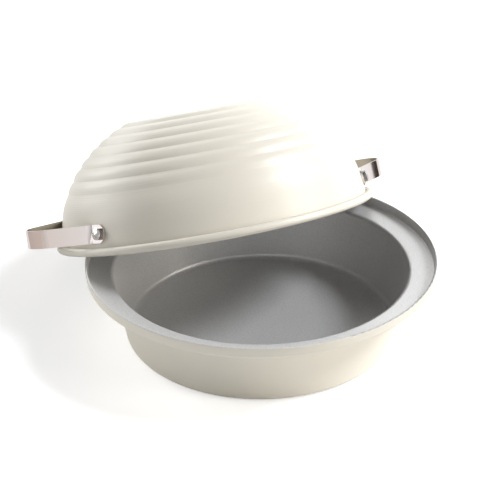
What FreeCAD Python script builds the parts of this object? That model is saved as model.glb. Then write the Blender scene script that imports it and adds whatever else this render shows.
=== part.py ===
"""Bread cloche: a round baking pan with a flanged, lipped rim and its ribbed dome lid.

The lid is off the pan and leans on it. Its low edge stands on the table behind the pan
and its rolled bead lies on the pan's lip, so that the mouth of the dome opens forwards.

Frame: millimetres, +Z up, origin on the pan's axis at table level. The lid leans towards
+Y, so -Y is the front. The handles point along -X (left) and +X (right).
The lid, its handles and rivets are drawn in the lid's own frame, with Z = 0 at the
underside of the bead, and are then leaned together.
"""
import FreeCAD
import Part
import math
import os
from collections import namedtuple

import Sketcher
from FreeCAD import Placement, Rotation, Vector

doc = FreeCAD.newDocument("bread_cloche")

# Driving sizes, in millimetres and degrees

SIZES = [
    ("lip_radius", 140.2, "outer radius of the pan at the top of the lip"),
    ("pan_height", 66.4, "table to the top of the lip"),
    ("pan_sheet", 1.5, "thickness of the pan's sheet"),
    ("lip_height", 7.2, "depth of the ledge under the top of the lip"),
    ("lip_lean", 4.0, "outward lean of the lip"),
    ("lip_bend", 2.0, "outer radius of the bend from lip to flange"),
    ("flange_width", 20.1, "width of the ledge that the lid sits on"),
    ("flange_fall", 6.5, "fall of the ledge towards the inside"),
    ("flange_bend", 2.0, "radius under the ledge where the wall starts"),
    ("wall_lean", 9.1, "draft of the pan's wall"),
    ("floor_corner", 6.4, "outer radius between wall and floor"),
    ("lid_sheet", 1.5, "thickness of the lid's sheet"),
    ("rim_clearance", 0.3, "gap between the lid's bead and the lip, all round"),
    ("bead_radius", 3.3, "radius of the rolled bead"),
    ("curl_turn", 290.0, "how far the edge is rolled round"),
    ("wall_draft", 9.2, "draft of the plain lower wall of the dome"),
    ("wall_rise", 29.0, "height of the plain wall, up to the shoulder"),
    ("shoulder_radius", 60, "rounding of the shoulder"),
    ("crown_radius", 115.9, "radius of the dome's arc above the shoulder"),
    ("crown_start", 20.7, "lean of that arc where it leaves the shoulder"),
    ("crown_blend", 40, "rounding of the smooth band under the ribs"),
    ("rib_start", 20.3, "arc length from the shoulder to the lowest groove"),
    ("rib_pitch", 12.1, "arc length from groove to groove"),
    ("rib_count", 7, "number of ring grooves"),
    ("rib_rise", 2.3, "rise of a rib's crest corner over the arc"),
    ("rib_fade", 0.5, "share of the full rise gained by each of the lowest ribs"),
    ("crest_radius", 13.0, "rounding of the ribs' crests"),
    ("groove_radius", 2.4, "rounding of the grooves"),
    ("cap_rise", 3.5, "rise of the flat top over the highest groove"),
    ("cap_inset", 4.4, "flat top's corner, inwards from the highest groove"),
    ("cap_corner", 8.0, "rounding of the flat top's corner"),
    ("strap_width", 14.8, "width of the handle strap"),
    ("strap_sheet", 1.5, "thickness of the handle strap"),
    ("rivet_spacing", 113.5, "distance between the two rivets of a handle"),
    ("rivet_rise", 17.3, "height of the rivets over the bead's underside"),
    ("handle_standoff", 31.7, "finger gap from the wall to the nose of the handle"),
    ("handle_tilt", 2.6, "upward tilt of the handle"),
    ("nose_radius", 31.0, "radius of the nose, at the middle of the strap"),
    ("pad_margin", 0.8, "corners of the strap's end, beyond the rivet"),
    ("end_bulge", 5.0, "how far the strap's rounded end stands out from its corners"),
    ("bend_reach", 10.5, "rivet to the middle of the bend"),
    ("bend_length", 3.0, "half the length of the bend"),
    ("seat_clearance", 0.05, "gap between pieces that lie against each other"),
    ("head_radius", 4.8, "radius of the rivet head"),
    ("head_side", 2.9, "height of the head's straight side"),
    ("head_crown", 1.5, "height of the head's domed face"),
    ("shank_radius", 2.5, "radius of the rivet's shank"),
    ("shank_clearance", 0.1, "gap round the shank in its holes"),
    ("tail_radius", 3.8, "radius of the rivet's flattened tail"),
    ("tail_height", 1.4, "height of the rivet's tail"),
    ("tail_clearance", 0.1, "gap between the tail and the curved wall"),
    ("foot_reach", 217.0, "pan's axis to the lid's low edge on the table"),
    ("lean_clearance", 0.1, "gap between the bead and the lip that it leans on"),
]

sheet = doc.addObject("Spreadsheet::Sheet", "sizes")
rows = []


def size(name, value, note):
    """Writes one size into the sheet and gives it back."""
    rows.append(name)
    row = len(rows)
    sheet.set(f"A{row}", note)
    sheet.set(f"B{row}", repr(value))
    sheet.setAlias(f"B{row}", name)
    return value


v = {name: size(name, value, note) for name, value, note in SIZES}


# Outlines: straight lines and arcs, walked with the metal on the right-hand side

Piece = namedtuple("Piece", "start end centre side size")


def left_of(way):
    return Vector(-way.y, way.x, 0)


def along(start, end):
    return (end - start).normalize()


def rounded_path(corners):
    """Joins corners (x, y, name of the rounding) by lines and arcs.

    A rounding is limited where its neighbours leave no room for it on the line."""
    points = [Vector(x, y, 0) for x, y, _ in corners]
    names = [name for _, _, name in corners]
    turns, reaches = [0.0], [0.0]
    for before, here, after, name in zip(points, points[1:], points[2:], names[1:]):
        way_in, way_out = along(before, here), along(here, after)
        turn = math.atan2(way_in.x * way_out.y - way_in.y * way_out.x, way_in.dot(way_out))
        turns.append(turn)
        reaches.append(v[name] * math.tan(abs(turn) / 2))
    reaches.append(0.0)
    room = [
        0.98 * points[k].distanceToPoint(points[k + 1]) / max(reaches[k] + reaches[k + 1], 1e-9)
        for k in range(len(points) - 1)
    ]
    pieces, last = [], points[0]
    for k in range(1, len(points) - 1):
        limit = min(1.0, room[k - 1], room[k])
        reach = reaches[k] * limit
        radius = v[names[k]] * limit
        way_in = along(points[k - 1], points[k])
        start = points[k] - way_in * reach
        end = points[k] + along(points[k], points[k + 1]) * reach
        side = 1 if turns[k] > 0 else -1
        centre = start + left_of(way_in) * (side * radius)
        name = names[k] if limit == 1.0 else None
        pieces.append(Piece(last, start, None, 0, None))
        pieces.append(Piece(start, end, centre, side, name))
        last = end
    pieces.append(Piece(last, points[-1], None, 0, None))
    return pieces


def shifted(pieces, shift):
    """The same path moved sideways, to the left of its walk."""
    result = []
    for piece in pieces:
        if piece.centre is None:
            step = left_of(along(piece.start, piece.end)) * shift
            start, end = piece.start + step, piece.end + step
        else:
            radius = piece.start.distanceToPoint(piece.centre)
            scale = (radius - shift * piece.side) / radius
            start = piece.centre + (piece.start - piece.centre) * scale
            end = piece.centre + (piece.end - piece.centre) * scale
        result.append(Piece(start, end, piece.centre, piece.side, None))
    return result


def walked_back(pieces):
    return [Piece(p.end, p.start, p.centre, -p.side, p.size) for p in reversed(pieces)]


def line(start, end):
    return Piece(start, end, None, 0, None)


def half_round(start, end, side):
    return Piece(start, end, (start + end) * 0.5, side, None)


def draw(sketch, pieces):
    """Draws a closed outline, ties its ends together and binds its roundings.

    Gives back each piece's number in the sketch with its first and last vertex."""
    drawn = []
    for piece in pieces:
        if piece.centre is None:
            number = sketch.addGeometry(Part.LineSegment(piece.start, piece.end), False)
            drawn.append((number, 1, 2))
            continue
        first, last = (piece.start, piece.end) if piece.side > 0 else (piece.end, piece.start)
        circle = Part.Circle(piece.centre, Vector(0, 0, 1), first.distanceToPoint(piece.centre))
        ends = (circle.parameter(first), circle.parameter(last))
        number = sketch.addGeometry(Part.ArcOfCircle(circle, *ends), False)
        drawn.append((number, 1, 2) if piece.side > 0 else (number, 2, 1))
    for here, after in zip(drawn, drawn[1:] + drawn[:1]):
        sketch.addConstraint(Sketcher.Constraint("Coincident", here[0], here[2], after[0], after[1]))
    for (number, _, _), piece in zip(drawn, pieces):
        if piece.size:
            radius = piece.start.distanceToPoint(piece.centre)
            row = sketch.addConstraint(Sketcher.Constraint("Radius", number, radius))
            sketch.setExpression(f"Constraints[{row}]", f"sizes.{piece.size}")
    return drawn


def fix(sketch, kind, vertex, value, name, formula):
    """A named distance from the origin to a vertex, bound to the sheet."""
    row = sketch.addConstraint(Sketcher.Constraint(kind, -1, 1, vertex[0], vertex[1], value))
    sketch.renameConstraint(row, name)
    sketch.setExpression(f"Constraints.{name}", formula)


def plane_sketch(body, role, name):
    sketch = body.newObject("Sketcher::SketchObject", name)
    plane = [item for item in body.Origin.OriginFeatures if item.Role == role][0]
    sketch.AttachmentSupport = [(plane, "")]
    sketch.MapMode = "FlatFace"
    return sketch


def revolved(body, sketch, name):
    turn = body.newObject("PartDesign::Revolution", name)
    turn.Profile = sketch
    turn.ReferenceAxis = (sketch, ["V_Axis"])
    turn.Angle = 360
    sketch.Visibility = False
    return turn


# Pan: one sheet pressed into a floor, a wall, a ledge and a standing lip

lean = math.tan(math.radians(v["lip_lean"]))
fall = math.tan(math.radians(v["flange_fall"]))
lip_top = v["pan_height"] - v["pan_sheet"] / 2
ledge_edge = (v["lip_radius"] - v["lip_height"] * lean, v["pan_height"] - v["lip_height"] - v["pan_sheet"])
wall_top = (ledge_edge[0] - v["flange_width"], ledge_edge[1] - v["flange_width"] * fall)
wall_foot = (wall_top[0] - wall_top[1] * math.tan(math.radians(v["wall_lean"])), 0.0)

pan_outside = rounded_path([
    (v["lip_radius"], lip_top, None),
    (*ledge_edge, "lip_bend"),
    (*wall_top, "flange_bend"),
    (*wall_foot, "floor_corner"),
    (0.0, 0.0, None),
])
pan_inside = shifted(pan_outside, -v["pan_sheet"])
lip_inside = pan_inside[0]

pan = doc.addObject("PartDesign::Body", "base_pan")
pan_sketch = plane_sketch(pan, "XZ_Plane", "pan_section")
pan_outline = (
    pan_outside
    + [line(pan_outside[-1].end, pan_inside[-1].end)]
    + walked_back(pan_inside)
    + [half_round(lip_inside.start, pan_outside[0].start, -1)]
)
drawn = draw(pan_sketch, pan_outline)
fix(pan_sketch, "DistanceX", drawn[0], v["lip_radius"], "lip", "sizes.lip_radius")
fix(pan_sketch, "DistanceY", drawn[0], lip_top, "rise", "sizes.pan_height - sizes.pan_sheet / 2")
fix(pan_sketch, "DistanceY", (drawn[len(pan_outside)][0], 2), v["pan_sheet"], "floor", "sizes.pan_sheet")
revolved(pan, pan_sketch, "pan_turn")

# Dome lid: plain drafted wall, shoulder, terraced ribs and a flat top, edge rolled outwards

draft = math.radians(v["wall_draft"])
seat_drop = v["pan_sheet"] / math.cos(math.radians(v["lip_lean"]))
seat_edge = ledge_edge[0] + v["pan_sheet"] * lean - seat_drop
bead_reach = size(
    "bead_reach",
    seat_edge - v["rim_clearance"] - v["bead_radius"],
    "lid's axis to the middle of the bead, so that the lid drops inside the lip",
)
curl_inner = v["bead_radius"] - v["lid_sheet"]
wall_base = bead_reach - curl_inner / math.cos(draft) + v["bead_radius"] * math.tan(draft)


def wall_at(height):
    """Outer radius of the plain wall at a height over the bead's underside."""
    return wall_base - height * math.tan(draft)


start_angle = math.radians(v["crown_start"])
crown_x = wall_at(v["wall_rise"]) - v["crown_radius"] * math.cos(start_angle)
crown_y = v["wall_rise"] - v["crown_radius"] * math.sin(start_angle)


def crown_point(arc_length, rise=0.0):
    """A point on the dome's arc, measured from the shoulder."""
    angle = start_angle + arc_length / v["crown_radius"]
    reach = v["crown_radius"] + rise
    return crown_x + reach * math.cos(angle), crown_y + reach * math.sin(angle)


grooves = [v["rib_start"] + v["rib_pitch"] * k for k in range(v["rib_count"])]
top_groove = crown_point(grooves[-1])
dome_height = size("dome_height", top_groove[1] + v["cap_rise"], "height of the whole lid")

dome_corners = [
    (0.0, dome_height, None),
    (top_groove[0] - v["cap_inset"], dome_height, "cap_corner"),
    (*top_groove, "groove_radius"),
]
for k in reversed(range(v["rib_count"] - 1)):
    rise = v["rib_rise"] * min(1.0, v["rib_fade"] * (k + 1))
    dome_corners.append((*crown_point(grooves[k] + v["rib_pitch"] / 2, rise), "crest_radius"))
    dome_corners.append((*crown_point(grooves[k]), "groove_radius"))
smooth_band = v["rib_start"] / v["crown_radius"]
smooth_rise = v["crown_radius"] * (1 / math.cos(smooth_band / 2) - 1)
curl_start = Vector(bead_reach - curl_inner * math.cos(draft), v["bead_radius"] - curl_inner * math.sin(draft), 0)
dome_corners += [
    (*crown_point(v["rib_start"] / 2, smooth_rise), "crown_blend"),
    (*crown_point(0.0), "shoulder_radius"),
    (curl_start.x, curl_start.y, None),
]

bead_centre = Vector(bead_reach, v["bead_radius"], 0)
curl_end_angle = math.pi + draft + math.radians(v["curl_turn"])
curl_end = bead_centre + Vector(math.cos(curl_end_angle), math.sin(curl_end_angle), 0) * curl_inner
dome_outside = rounded_path(dome_corners) + [Piece(curl_start, curl_end, bead_centre, 1, None)]
dome_inside = shifted(dome_outside, -v["lid_sheet"])

dome = doc.addObject("PartDesign::Body", "dome_body")
dome_sketch = plane_sketch(dome, "XZ_Plane", "dome_section")
dome_outline = (
    dome_outside
    + [line(dome_outside[-1].end, dome_inside[-1].end)]
    + walked_back(dome_inside)
    + [line(dome_inside[0].start, dome_outside[0].start)]
)
drawn = draw(dome_sketch, dome_outline)
curl = drawn[len(dome_outside) - 1]
fix(dome_sketch, "DistanceY", drawn[0], dome_height, "height", "sizes.dome_height")
fix(dome_sketch, "DistanceX", (curl[0], 3), bead_reach, "bead", "sizes.bead_reach")
fix(dome_sketch, "DistanceY", (curl[0], 3), v["bead_radius"], "bead_rise", "sizes.bead_radius")
revolved(dome, dome_sketch, "dome_turn")

# Lean: the bead touches the table at its low edge and lies on the lip at both sides

lip_middle = (lip_inside.start + pan_outside[0].start) * 0.5
touching = v["bead_radius"] + v["pan_sheet"] / 2 + v["lean_clearance"]


def lid_place(angle):
    """Setback and height of the lid's own origin for a lean."""
    setback = v["foot_reach"] - v["bead_radius"] * math.sin(angle) - bead_reach * math.cos(angle)
    raised = v["bead_radius"] * (1 - math.cos(angle)) + bead_reach * math.sin(angle)
    return setback, raised


def bead_to_lip(angle, turn):
    """Outward and upward offset of a point of the bead's centre line from the lip's."""
    setback, raised = lid_place(angle)
    x = bead_reach * math.cos(turn)
    y = setback + bead_reach * math.sin(turn) * math.cos(angle) + v["bead_radius"] * math.sin(angle)
    z = raised - bead_reach * math.sin(turn) * math.sin(angle) + v["bead_radius"] * math.cos(angle)
    return math.hypot(x, y) - lip_middle.x, z - lip_middle.y


def halved(low, high, is_low, steps=60):
    """The value between two where a test turns over."""
    for _ in range(steps):
        middle = (low + high) / 2
        low, high = (middle, high) if is_low(middle) else (low, middle)
    return (low + high) / 2


def bead_gap(angle):
    """Least distance from the bead's centre line to the lip's, less than none if under it."""
    crossing = halved(-math.pi / 2, math.pi / 2, lambda turn: bead_to_lip(angle, turn)[0] < 0)
    near = [crossing + math.radians(step / 20) for step in range(-500, 501)]
    least = min(math.hypot(*bead_to_lip(angle, turn)) for turn in near)
    return math.copysign(least, bead_to_lip(angle, crossing)[1])


lean_angle = halved(math.radians(5), math.radians(50), lambda angle: bead_gap(angle) < touching, 40)
setback, raised = lid_place(lean_angle)
size("lean_angle", math.degrees(lean_angle), "lean of the lid, from its two rests")
size("lid_setback", setback, "setback of the lid's own origin")
size("lid_raise", raised, "height of the lid's own origin")

leaned = Placement(Vector(0, setback, raised), Rotation(Vector(1, 0, 0), -math.degrees(lean_angle)))

# Rivet places on the wall: across, up the wall and straight out of it

rivet_radius = wall_at(v["rivet_rise"])
rivet_angle = math.asin(v["rivet_spacing"] / 2 / rivet_radius)


def wall_frame(turn, out=0.0, flipped=False):
    """Placement on the outer wall at an angle round the lid, moved out of the wall."""
    normal = Vector(math.cos(draft) * math.cos(turn), math.cos(draft) * math.sin(turn), math.sin(draft))
    across = Vector(-math.sin(turn), math.cos(turn), 0)
    if flipped:
        across = -across
    point = Vector(rivet_radius * math.cos(turn), rivet_radius * math.sin(turn), v["rivet_rise"])
    return Placement(point + normal * out, Rotation(across, normal.cross(across), normal, "XYZ"))


RIVETS = {
    "right_front_rivet": -rivet_angle,
    "right_back_rivet": rivet_angle,
    "left_front_rivet": rivet_angle - math.pi,
    "left_back_rivet": math.pi - rivet_angle,
}

hole_length = 6 * v["lid_sheet"]
holes = []
for name, turn in RIVETS.items():
    hole = doc.addObject("Part::Cylinder", name.replace("rivet", "hole"))
    hole.setExpression("Radius", "sizes.shank_radius + sizes.shank_clearance")
    hole.setExpression("Height", "6 * sizes.lid_sheet")
    hole.Placement = wall_frame(turn, -hole_length / 2)
    holes.append(hole)
hole_set = doc.addObject("Part::MultiFuse", "rivet_holes")
hole_set.Shapes = holes
lid = doc.addObject("Part::Cut", "dome_lid")
lid.Base = dome
lid.Tool = hole_set
lid.Placement = leaned

# Rivets: a tall domed head outside, a shank through strap and wall, a flat tail inside

head_seat = v["seat_clearance"] * 2 + v["strap_sheet"]
tail_seat = -v["lid_sheet"] - v["tail_clearance"]
head_top = head_seat + v["head_side"] + v["head_crown"]
crown_sphere = (v["head_radius"] ** 2 + v["head_crown"] ** 2) / (2 * v["head_crown"])
tail_end = tail_seat - v["tail_height"]

rivets = []
for name, turn in RIVETS.items():
    rivet = doc.addObject("PartDesign::Body", name)
    section = plane_sketch(rivet, "XZ_Plane", name + "_section")
    corners = [
        Vector(0, tail_end, 0),
        Vector(v["tail_radius"], tail_end, 0),
        Vector(v["tail_radius"], tail_seat, 0),
        Vector(v["shank_radius"], tail_seat, 0),
        Vector(v["shank_radius"], head_seat, 0),
        Vector(v["head_radius"], head_seat, 0),
        Vector(v["head_radius"], head_seat + v["head_side"], 0),
    ]
    outline = [line(a, b) for a, b in zip(corners, corners[1:])]
    face_top = Vector(0, head_top, 0)
    outline.append(Piece(corners[-1], face_top, Vector(0, head_top - crown_sphere, 0), 1, None))
    outline.append(line(face_top, corners[0]))
    drawn = draw(section, outline)
    fix(section, "DistanceX", (drawn[1][0], 1), v["tail_radius"], "tail", "sizes.tail_radius")
    fix(section, "DistanceX", (drawn[3][0], 1), v["shank_radius"], "shank", "sizes.shank_radius")
    fix(section, "DistanceX", (drawn[5][0], 2), v["head_radius"], "head", "sizes.head_radius")
    revolved(rivet, section, name + "_turn")
    rivet.Placement = leaned * wall_frame(turn)
    rivets.append(rivet)

# Handles: a strap with two flat pads on the wall, bent out into legs that meet in a round nose

pad_out = v["seat_clearance"] + v["strap_sheet"] / 2


def strap_pad(name, turn, flipped):
    """Flat end of the strap with its rivet hole; X points along the strap."""
    body = doc.addObject("PartDesign::Body", name)
    sketch = plane_sketch(body, "XY_Plane", name + "_outline")
    half, back = v["strap_width"] / 2, -v["pad_margin"]
    reach = v["bend_reach"] - v["bend_length"]
    end_radius = (half ** 2 + v["end_bulge"] ** 2) / (2 * v["end_bulge"])
    end_centre = Vector(back - v["end_bulge"] + end_radius, 0, 0)
    outline = [
        Piece(Vector(back, half, 0), Vector(back, -half, 0), end_centre, 1, None),
        line(Vector(back, -half, 0), Vector(reach, -half, 0)),
        line(Vector(reach, -half, 0), Vector(reach, half, 0)),
        line(Vector(reach, half, 0), Vector(back, half, 0)),
    ]
    drawn = draw(sketch, outline)
    fix(sketch, "DistanceX", (drawn[0][0], 3), end_centre.x, "end", "-sizes.pad_margin - sizes.end_bulge "
        "+ ((sizes.strap_width / 2) ^ 2 + sizes.end_bulge ^ 2) / (2 * sizes.end_bulge)")
    reach_formula = "sizes.bend_reach - sizes.bend_length"
    fix(sketch, "DistanceX", (drawn[1][0], 2), reach, "reach", reach_formula)
    fix(sketch, "DistanceY", (drawn[2][0], 2), half, "half", "sizes.strap_width / 2")
    hole_radius = v["shank_radius"] + v["shank_clearance"]
    hole = sketch.addGeometry(Part.Circle(Vector(0, 0, 0), Vector(0, 0, 1), hole_radius), False)
    sketch.addConstraint(Sketcher.Constraint("Coincident", hole, 3, -1, 1))
    row = sketch.addConstraint(Sketcher.Constraint("Radius", hole, hole_radius))
    sketch.setExpression(f"Constraints[{row}]", "sizes.shank_radius + sizes.shank_clearance")
    pad = body.newObject("PartDesign::Pad", name + "_pad")
    pad.Profile = sketch
    pad.setExpression("Length", "sizes.strap_sheet")
    sketch.Visibility = False
    body.Placement = wall_frame(turn, v["seat_clearance"], flipped)
    return body


front_pad = strap_pad("front_pad", -rivet_angle, False)
back_pad = strap_pad("back_pad", rivet_angle, True)

# The legs and the nose lie in one plane, tilted up about the line between the two bends
pad_middle = wall_frame(-rivet_angle, pad_out)
bend_point = pad_middle.multVec(Vector(v["bend_reach"], 0, 0))
tilt = math.radians(v["handle_tilt"])
nose_reach = (rivet_radius + v["handle_standoff"] + v["strap_sheet"] / 2 - bend_point.x) / math.cos(tilt)
nose_x = nose_reach - v["nose_radius"]
bend_distance = math.hypot(nose_x, bend_point.y)
leg_angle = math.atan2(-bend_point.y, nose_x) - math.asin(v["nose_radius"] / bend_distance)
apex_x = -bend_point.y / math.tan(leg_angle)
leg_way = Vector(math.cos(leg_angle), math.sin(leg_angle), 0)
leg_start = Vector(0, bend_point.y, 0) + leg_way * v["bend_length"]

strap_middle = rounded_path([
    (leg_start.x, leg_start.y, None),
    (apex_x, 0.0, "nose_radius"),
    (leg_start.x, -leg_start.y, None),
])
strap_inside = shifted(strap_middle, v["strap_sheet"] / 2)
strap_outside = shifted(strap_middle, -v["strap_sheet"] / 2)

band = doc.addObject("PartDesign::Body", "band")
band_sketch = plane_sketch(band, "XY_Plane", "band_outline")
band_outline = (
    strap_outside
    + [line(strap_outside[-1].end, strap_inside[-1].end)]
    + walked_back(strap_inside)
    + [line(strap_inside[0].start, strap_outside[0].start)]
)
drawn = draw(band_sketch, band_outline)
nose_row = band_sketch.addConstraint(
    Sketcher.Constraint("Radius", drawn[1][0], v["nose_radius"] + v["strap_sheet"] / 2)
)
band_sketch.setExpression(f"Constraints[{nose_row}]", "sizes.nose_radius + sizes.strap_sheet / 2")
band_pad = band.newObject("PartDesign::Pad", "band_pad")
band_pad.Profile = band_sketch
band_pad.Midplane = True
band_pad.setExpression("Length", "sizes.strap_width")
band_sketch.Visibility = False
band_tilt = Rotation(Vector(0, 1, 0), -v["handle_tilt"])
band.Placement = Placement(Vector(bend_point.x, 0, bend_point.z), band_tilt)


def strap_bend(name, side):
    """Bend between pad and leg, turned from the wall's draft to the handle's tilt.

    side is 1 for the front bend and -1 for the back one."""
    pad_start = pad_middle.multVec(Vector(v["bend_reach"] - v["bend_length"], 0, 0))
    leg_end = band.Placement.multVec(leg_start)
    width_first = pad_middle.Rotation.multVec(Vector(0, 1, 0))
    width_last = band_tilt.multVec(Vector(0, 0, 1))
    mirror = Vector(1, side, 1)
    sections = []
    for k in range(7):
        share = k / 6
        point = pad_start * (1 - share) ** 2 + bend_point * (2 * share * (1 - share)) + leg_end * share ** 2
        way = along(pad_start * (share - 1) + bend_point * (1 - 2 * share) + leg_end * share, Vector(0, 0, 0))
        way = -way
        width = width_first * (1 - share) + width_last * share
        width = (width - way * width.dot(way)).normalize() * (v["strap_width"] / 2)
        thick = way.cross(width).normalize() * (v["strap_sheet"] / 2)
        ring = [point + width + thick, point + width - thick, point - width - thick, point - width + thick]
        ring = [Vector(p.x * mirror.x, p.y * mirror.y, p.z * mirror.z) for p in ring]
        sections.append(Part.makePolygon(ring + ring[:1]))
    bend = doc.addObject("Part::Feature", name)
    bend.Shape = Part.makeLoft(sections, True, False)
    return bend


bends = [strap_bend("front_bend", 1), strap_bend("back_bend", -1)]

handles = []
for name, turn in (("right_handle", 0.0), ("left_handle", 180.0)):
    handle = doc.addObject("Part::MultiFuse", name)
    handle.Shapes = [front_pad, bends[0], band, bends[1], back_pad]
    handle.Refine = True
    handle.Placement = leaned * Placement(Vector(0, 0, 0), Rotation(Vector(0, 0, 1), turn))
    handles.append(handle)

doc.recompute()

# Each piece is checked, then written under its own name

pieces = {"base_pan": pan, "dome_lid": lid}
pieces.update((item.Name, item) for item in handles + rivets)

for item in doc.Objects:
    if "Invalid" in item.State or "Error" in item.State:
        raise RuntimeError(f"{item.Name}: {item.State}")
os.makedirs("parts", exist_ok=True)
for name, item in pieces.items():
    item.Label = name
    shape = item.Shape
    if shape.isNull() or not shape.isValid() or len(shape.Solids) != 1:
        raise RuntimeError(f"{name}: the shape is not one sound solid")
for name, item in pieces.items():
    item.Shape.exportStep(f"parts/{name}.step")
    box = item.Shape.BoundBox
    print(
        f"{name}: {item.Shape.Volume:.0f} mm3, x {box.XMin:.1f} to {box.XMax:.1f}, "
        f"y {box.YMin:.1f} to {box.YMax:.1f}, z {box.ZMin:.1f} to {box.ZMax:.1f}"
    )
print(f"lean {math.degrees(lean_angle):.2f}, bead reach {bead_reach:.2f}, dome height {dome_height:.2f}")
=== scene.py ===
"""Looks of a bread cloche: a grey-lined cream pan, its ribbed cream dome lid and polished straps."""
import bpy
import math
from mathutils import Euler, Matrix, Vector

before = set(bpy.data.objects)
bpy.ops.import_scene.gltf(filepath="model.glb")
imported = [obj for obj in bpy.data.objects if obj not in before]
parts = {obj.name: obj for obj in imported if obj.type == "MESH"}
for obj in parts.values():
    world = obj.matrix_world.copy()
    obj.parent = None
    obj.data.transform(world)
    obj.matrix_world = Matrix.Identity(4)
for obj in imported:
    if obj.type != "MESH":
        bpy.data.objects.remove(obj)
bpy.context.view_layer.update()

# Colours

CREAM = (0.805, 0.764, 0.672)
CREAM_DEEP = (0.772, 0.730, 0.636)
GREY = (0.690, 0.686, 0.680)
GREY_DEEP = (0.570, 0.566, 0.560)
STEEL = (0.930, 0.865, 0.845)
STEEL_DEEP = (0.870, 0.805, 0.785)
# Painted reflection: the strap's nose is tinted this warmer, darker steel.
STEEL_NOSE_REFLECTION = (0.835, 0.730, 0.675)
# Painted shade: the inner face of the straps, darker and browner like the shaded lid it faces.
STEEL_INSIDE_SHADE = (0.500, 0.465, 0.405)
RIVET_FACE = (0.720, 0.710, 0.700)
RIVET_DEEP = (0.420, 0.410, 0.400)
# Painted shade: the side of each rivet head.
RIVET_SIDE_SHADE = (0.250, 0.235, 0.220)

# Roughness, as a pair from one end of the grain to the other where it varies

CREAM_ROUGH = (0.34, 0.42)
GREY_ROUGH = (0.45, 0.37)
EDGE_ROUGH = 0.9
STRAP_ROUGH = (0.04, 0.07)
SCRATCH_ROUGH = 0.04
INSIDE_ROUGH = 0.12
RIVET_ROUGH = (0.30, 0.22)
GREY_METAL = 0.4

# Sizes in metres, each measured in its piece's own upright frame

LIP_TOP = (0.0648, 0.0656)
BEAD_TOP = 0.0069
BEAD_START = (0.1330, 0.1334)
# Sideways distance from the middle over which the strap's nose takes its painted warm reflection
NOSE_REFLECTION_START = (0.122, 0.154)
PAN_LINE_PITCH = 0.0021
LID_LINE_PITCH = 0.0016
COAT_DEPTH = 0.00001
STRAP_DEPTH = 0.000005
RIVET_DEPTH = 0.000002

# The lid leans on the pan: the place and tilt of its own frame in the pan's

LID_LEAN = math.radians(22.49)
LID_FOOT = (0, 0.09128, 0.05178)


def new_finish(name):
    """An empty material with its shader, ready to be wired."""
    finish = bpy.data.materials.new(name)
    finish.use_nodes = True
    tree = finish.node_tree
    return finish, tree, tree.nodes["Principled BSDF"]


def join(tree, source, target):
    """One wire, from an output to an input."""
    tree.links.new(source, target)


def worked(tree, kind, first, second=0.0):
    """One step of arithmetic; first and second are sockets or numbers."""
    step = tree.nodes.new("ShaderNodeMath")
    step.operation = kind
    for socket, value in zip(step.inputs, (first, second)):
        if isinstance(value, (int, float)):
            socket.default_value = value
        else:
            join(tree, value, socket)
    return step.outputs[0]


def own_place(tree, foot=(0, 0, 0), lean=0.0):
    """Place and facing of a spot, measured in the piece's own upright frame."""
    where = tree.nodes.new("ShaderNodeTexCoord")
    result = []
    for output, origin in (("Object", foot), ("Normal", (0, 0, 0))):
        turned = tree.nodes.new("ShaderNodeMapping")
        turned.vector_type = "TEXTURE"
        turned.inputs["Location"].default_value = origin
        turned.inputs["Rotation"].default_value = (-lean, 0, 0)
        join(tree, where.outputs[output], turned.inputs["Vector"])
        result.append(turned.outputs["Vector"])
    return result


def split(tree, vector):
    """The three shares of a place or a facing."""
    parted = tree.nodes.new("ShaderNodeSeparateXYZ")
    join(tree, vector, parted.inputs[0])
    return parted.outputs


def outward(tree, place, facing):
    """How far a spot faces away from the axis, from -1 to 1, and its distance from the axis."""
    x, y, _ = split(tree, place)
    flat = tree.nodes.new("ShaderNodeCombineXYZ")
    join(tree, x, flat.inputs[0])
    join(tree, y, flat.inputs[1])
    way = tree.nodes.new("ShaderNodeVectorMath")
    way.operation = "NORMALIZE"
    join(tree, flat.outputs[0], way.inputs[0])
    meet = tree.nodes.new("ShaderNodeVectorMath")
    meet.operation = "DOT_PRODUCT"
    join(tree, way.outputs["Vector"], meet.inputs[0])
    join(tree, facing, meet.inputs[1])
    reach = tree.nodes.new("ShaderNodeVectorMath")
    reach.operation = "LENGTH"
    join(tree, flat.outputs[0], reach.inputs[0])
    return meet.outputs["Value"], reach.outputs["Value"]


def grain(tree, place, scale, detail, stretch=None):
    """Fine random grain, from 0 to 1, in lumps of about 1 / scale metres."""
    if stretch:
        pulled = tree.nodes.new("ShaderNodeMapping")
        pulled.inputs["Scale"].default_value = stretch
        join(tree, place, pulled.inputs["Vector"])
        place = pulled.outputs["Vector"]
    noise = tree.nodes.new("ShaderNodeTexNoise")
    noise.inputs["Scale"].default_value = scale
    noise.inputs["Detail"].default_value = detail
    join(tree, place, noise.inputs["Vector"])
    return noise.outputs["Fac"]


def turning(tree, place, across, pitch, wander):
    """Fine lines left by spinning the sheet; across is BANDS up the axis or RINGS round it."""
    wave = tree.nodes.new("ShaderNodeTexWave")
    wave.wave_type = across
    if across == "BANDS":
        wave.bands_direction = "Z"
    else:
        wave.rings_direction = "Z"
    wave.inputs["Scale"].default_value = math.pi / (10 * pitch)
    wave.inputs["Distortion"].default_value = wander
    wave.inputs["Detail"].default_value = 2.0
    wave.inputs["Detail Scale"].default_value = 0.02
    join(tree, place, wave.inputs["Vector"])
    return wave.outputs["Fac"]


def tinted(tree, share, low, high):
    """A colour between two, by a share from 0 to 1; the ends may be sockets or colours."""
    blend = tree.nodes.new("ShaderNodeMix")
    blend.data_type = "RGBA"
    join(tree, share, blend.inputs["Factor"])
    for socket, value in ((blend.inputs[6], low), (blend.inputs[7], high)):
        if isinstance(value, tuple):
            socket.default_value = (*value, 1)
        else:
            join(tree, value, socket)
    return blend.outputs[2]


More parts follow.
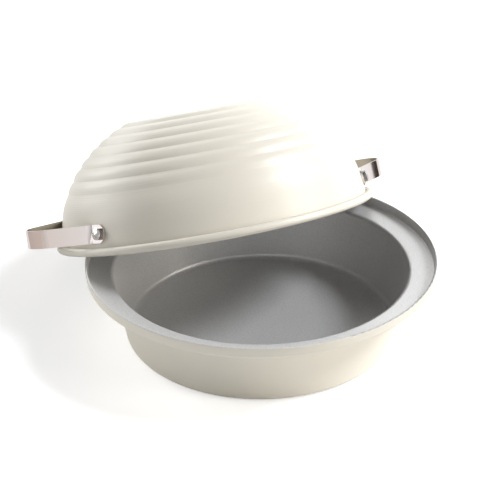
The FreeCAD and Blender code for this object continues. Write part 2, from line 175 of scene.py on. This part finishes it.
def ranged(tree, share, low, high, start=0.0, end=1.0):
    """Runs from low to high while share runs from start to end, and stays at the ends beyond."""
    mapped = tree.nodes.new("ShaderNodeMapRange")
    join(tree, share, mapped.inputs["Value"])
    for name, value in (("From Min", start), ("From Max", end), ("To Min", low), ("To Max", high)):
        if isinstance(value, (int, float)):
            mapped.inputs[name].default_value = value
        else:
            join(tree, value, mapped.inputs[name])
    return mapped.outputs["Result"]


def rising(tree, share, start, end):
    """Runs from 0 to 1 while share runs from start to end."""
    return ranged(tree, share, 0.0, 1.0, start, end)


def relief(tree, shader, height, depth):
    """A fine unevenness of the surface, by a height from 0 to 1 and a depth in metres."""
    bump = tree.nodes.new("ShaderNodeBump")
    bump.inputs["Strength"].default_value = 1.0
    bump.inputs["Distance"].default_value = depth
    join(tree, height, bump.inputs["Height"])
    join(tree, bump.outputs["Normal"], shader.inputs["Normal"])


def two_coats(tree, shader, place, outside, edge=0.0):
    """Satin cream where outside is 1, grey non-stick where it is 0, and matt where edge is 1."""
    cloud = grain(tree, place, 14, 3)
    speck = grain(tree, place, 1500, 1)
    flake = rising(tree, speck, 0.36, 0.64)
    cream = tinted(tree, cloud, CREAM_DEEP, CREAM)
    grey = tinted(tree, flake, GREY_DEEP, GREY)
    join(tree, tinted(tree, outside, grey, cream), shader.inputs["Base Color"])
    cream_rough = ranged(tree, cloud, *CREAM_ROUGH)
    grey_rough = ranged(tree, flake, *GREY_ROUGH)
    coat_rough = ranged(tree, outside, grey_rough, cream_rough)
    edge_rough = worked(tree, "MULTIPLY", edge, EDGE_ROUGH)
    join(tree, worked(tree, "MAXIMUM", coat_rough, edge_rough), shader.inputs["Roughness"])
    coat_metal = ranged(tree, outside, GREY_METAL, 0.0)
    kept = worked(tree, "SUBTRACT", 1.0, edge)
    join(tree, worked(tree, "MULTIPLY", coat_metal, kept), shader.inputs["Metallic"])
    return speck


def pan_coats():
    """Grey inside and on the ledge, cream outside; the top edge of the lip is matt."""
    finish, tree, shader = new_finish("pan_coats")
    place, facing = own_place(tree)
    away, _ = outward(tree, place, facing)
    up = split(tree, facing)[2]
    side = worked(tree, "SUBTRACT", away, worked(tree, "MULTIPLY", up, 1.3))
    outside = rising(tree, side, -0.15, 0.15)
    lip = rising(tree, split(tree, place)[2], *LIP_TOP)
    speck = two_coats(tree, shader, place, outside, lip)
    lines = turning(tree, place, "RINGS", PAN_LINE_PITCH, 0.4)
    height = worked(tree, "ADD", worked(tree, "MULTIPLY", lines, 0.35), speck)
    relief(tree, shader, height, COAT_DEPTH)
    return finish


def lid_coats():
    """Cream outside and all round the bead, grey inside."""
    finish, tree, shader = new_finish("lid_coats")
    place, facing = own_place(tree, LID_FOOT, LID_LEAN)
    away, reach = outward(tree, place, facing)
    up = split(tree, facing)[2]
    side = rising(tree, worked(tree, "ADD", away, up), 0.0, 0.1)
    low = worked(tree, "LESS_THAN", split(tree, place)[2], BEAD_TOP)
    bead = worked(tree, "MULTIPLY", low, rising(tree, reach, *BEAD_START))
    outside = worked(tree, "MAXIMUM", side, bead)
    speck = two_coats(tree, shader, place, outside)
    lines = turning(tree, place, "BANDS", LID_LINE_PITCH, 0.3)
    height = worked(tree, "ADD", worked(tree, "MULTIPLY", lines, 2.6), speck)
    relief(tree, shader, height, COAT_DEPTH)
    return finish


def strap_steel():
    """Mirror-polished outside with hair scratches, a faint haze and a painted warm reflection on the nose;
    duller and rougher inside, where painted shade darkens it.
    """
    finish, tree, shader = new_finish("strap_steel")
    place, facing = own_place(tree, LID_FOOT, LID_LEAN)
    away, _ = outward(tree, place, facing)
    haze = grain(tree, place, 90, 3)
    scratch = grain(tree, place, 300, 2, (1, 1, 14))
    # Painted shade: the inner face is coloured darker; it is also rougher.
    inside = ranged(tree, away, 1.0, 0.0, -0.5, -0.1)
    side = worked(tree, "ABSOLUTE", split(tree, place)[0])
    # Painted reflection: the steel turns warmer and darker towards the nose.
    nose = rising(tree, side, *NOSE_REFLECTION_START)
    polished = tinted(tree, nose, tinted(tree, haze, STEEL_DEEP, STEEL), STEEL_NOSE_REFLECTION)
    join(tree, tinted(tree, inside, polished, STEEL_INSIDE_SHADE), shader.inputs["Base Color"])
    hazy = ranged(tree, haze, *STRAP_ROUGH)
    polish_rough = worked(tree, "ADD", hazy, ranged(tree, scratch, 0.0, SCRATCH_ROUGH))
    inside_rough = worked(tree, "MULTIPLY", inside, INSIDE_ROUGH)
    join(tree, worked(tree, "ADD", polish_rough, inside_rough), shader.inputs["Roughness"])
    shader.inputs["Metallic"].default_value = 1.0
    height = worked(tree, "ADD", haze, worked(tree, "MULTIPLY", scratch, 0.4))
    relief(tree, shader, height, STRAP_DEPTH)
    return finish


def rivet_steel():
    """Spotted, softly polished head on a side painted darker as shade."""
    finish, tree, shader = new_finish("rivet_steel")
    place, facing = own_place(tree, LID_FOOT, LID_LEAN)
    away, _ = outward(tree, place, facing)
    haze = grain(tree, place, 400, 3)
    spots = rising(tree, haze, 0.40, 0.60)
    # Painted shade: where the head turns from facing outward, its side is coloured dark.
    face = rising(tree, away, 0.45, 0.8)
    head = tinted(tree, spots, RIVET_DEEP, RIVET_FACE)
    join(tree, tinted(tree, face, RIVET_SIDE_SHADE, head), shader.inputs["Base Color"])
    join(tree, ranged(tree, spots, *RIVET_ROUGH), shader.inputs["Roughness"])
    shader.inputs["Metallic"].default_value = 1.0
    relief(tree, shader, haze, RIVET_DEPTH)
    return finish


pan_finish = pan_coats()
lid_finish = lid_coats()
strap_finish = strap_steel()
rivet_finish = rivet_steel()
for name, part in parts.items():
    if name == "base_pan":
        finish = pan_finish
    elif name == "dome_lid":
        finish = lid_finish
    elif name.endswith("handle"):
        finish = strap_finish
    else:
        finish = rivet_finish
    part.data.materials.clear()
    part.data.materials.append(finish)

# Camera at the photograph's viewing angle

CAMERA_PLACE = (-0.34813, -0.74431, 0.51382)
CAMERA_TURN = (61.56, 0.836, -24.927)
bpy.ops.object.camera_add(location=CAMERA_PLACE)
camera = bpy.context.object
camera.rotation_euler = Euler([math.radians(angle) for angle in CAMERA_TURN])
camera.data.lens = 84.112
camera.data.sensor_width = 36
bpy.context.scene.camera = camera
bpy.context.scene.view_settings.view_transform = "Standard"

# Plain pale floor, white to the camera apart from the shadow

bpy.ops.mesh.primitive_plane_add(size=12)
floor = bpy.context.object
floor.name = "floor"
ground, tree, shader = new_finish("pale_floor")
shader.inputs["Base Color"].default_value = (0.9, 0.9, 0.9, 1)
shader.inputs["Roughness"].default_value = 0.9
shader.inputs["Emission Color"].default_value = (1, 1, 1, 1)
path = tree.nodes.new("ShaderNodeLightPath")
join(tree, worked(tree, "MULTIPLY", path.outputs["Is Camera Ray"], 0.5), shader.inputs["Emission Strength"])
floor.data.materials.append(ground)

# Soft light: a strong one from the upper right, a low one from the front, two weak ones from behind on
# the left, and a glow all round


def soft_light(name, from_way, spread, strength, tint=(1, 1, 1)):
    """A distant lamp; spread is how wide it looks, in degrees."""
    bpy.ops.object.light_add(type="SUN", location=from_way)
    light = bpy.context.object
    light.name = name
    light.data.angle = math.radians(spread)
    light.data.energy = strength
    light.data.color = tint
    light.rotation_euler = Vector(from_way).to_track_quat("Z", "Y").to_euler()


soft_light("high_key", (0.939, -0.342, 1.0), 20, 2.8, (0.95, 0.97, 1.0))
soft_light("low_key", (0.75, -0.66, 0.27), 22, 1.25, (1.0, 0.94, 0.85))
soft_light("left_rim", (-0.906, 0.424, 0.30), 30, 0.95)
soft_light("back_rim", (-0.499, 0.867, 0.38), 30, 1.1)

# The glow: it lights from the right, and what mirrors it sees it brighter behind the object

RIGHT, AWAY = (0.906, -0.424, 0), (0.424, 0.906, 0)
GLOW_LEFT, GLOW_RIGHT = 0.025, 0.5
MIRRORED_SIDE, MIRRORED_BEHIND, MIRRORED_FRONT = 0.2, 2.3, 0.8
sky = bpy.data.worlds.new("studio")
bpy.context.scene.world = sky
sky.use_nodes = True
tree = sky.node_tree
backdrop = tree.nodes["Background"]
backdrop.inputs["Color"].default_value = (1, 1, 1, 1)
way = tree.nodes.new("ShaderNodeTexCoord").outputs["Generated"]


def towards(direction):
    """How nearly a ray goes in a direction, from -1 to 1."""
    meet = tree.nodes.new("ShaderNodeVectorMath")
    meet.operation = "DOT_PRODUCT"
    join(tree, way, meet.inputs[0])
    meet.inputs[1].default_value = Vector(direction).normalized()
    return meet.outputs["Value"]


path = tree.nodes.new("ShaderNodeLightPath")
lighting = ranged(tree, towards(RIGHT), GLOW_LEFT, GLOW_RIGHT)
behind = ranged(tree, towards(AWAY), MIRRORED_SIDE, MIRRORED_BEHIND)
in_front = ranged(tree, towards(AWAY), 0.0, MIRRORED_FRONT, 0.0, -1.0)
mirrored = worked(tree, "ADD", behind, in_front)
share = tree.nodes.new("ShaderNodeMix")
join(tree, path.outputs["Is Glossy Ray"], share.inputs["Factor"])
join(tree, lighting, share.inputs["A"])
join(tree, mirrored, share.inputs["B"])
seen = worked(tree, "MAXIMUM", path.outputs["Is Camera Ray"], path.outputs["Is Transmission Ray"])
join(tree, ranged(tree, seen, share.outputs["Result"], 1.0), backdrop.inputs["Strength"])

# A dark board beside the object, and a grey card on the floor that is a painted shadow of the object there,
# both seen only in the polished steel


def card(name, place, turn, wide, long, shade):
    """A matt card for the steel to mirror, out of sight of the camera; turn is in degrees."""
    angles = [math.radians(angle) for angle in turn]
    bpy.ops.mesh.primitive_plane_add(size=1, location=place, rotation=angles)
    sheet = bpy.context.object
    sheet.name = name
    sheet.scale = (wide, long, 1)
    sheet.visible_camera = sheet.visible_diffuse = sheet.visible_shadow = False
    matt, _, shader = new_finish(name)
    shader.inputs["Base Color"].default_value = (*shade, 1)
    shader.inputs["Roughness"].default_value = 1.0
    sheet.data.materials.append(matt)


card("dark_board", (0.2168, 0.0903, 0.066), (103.2, 18.4, 126.7), 0.0085, 0.1, (0.05, 0.04, 0.03))
# Painted shadow: this card stands in for the object's shadow on the floor at the left.
card("painted_floor_shadow", (-3.1, 0.05, 0.0005), (0, 0, 0), 5.7, 0.56, (0.53, 0.48, 0.455))
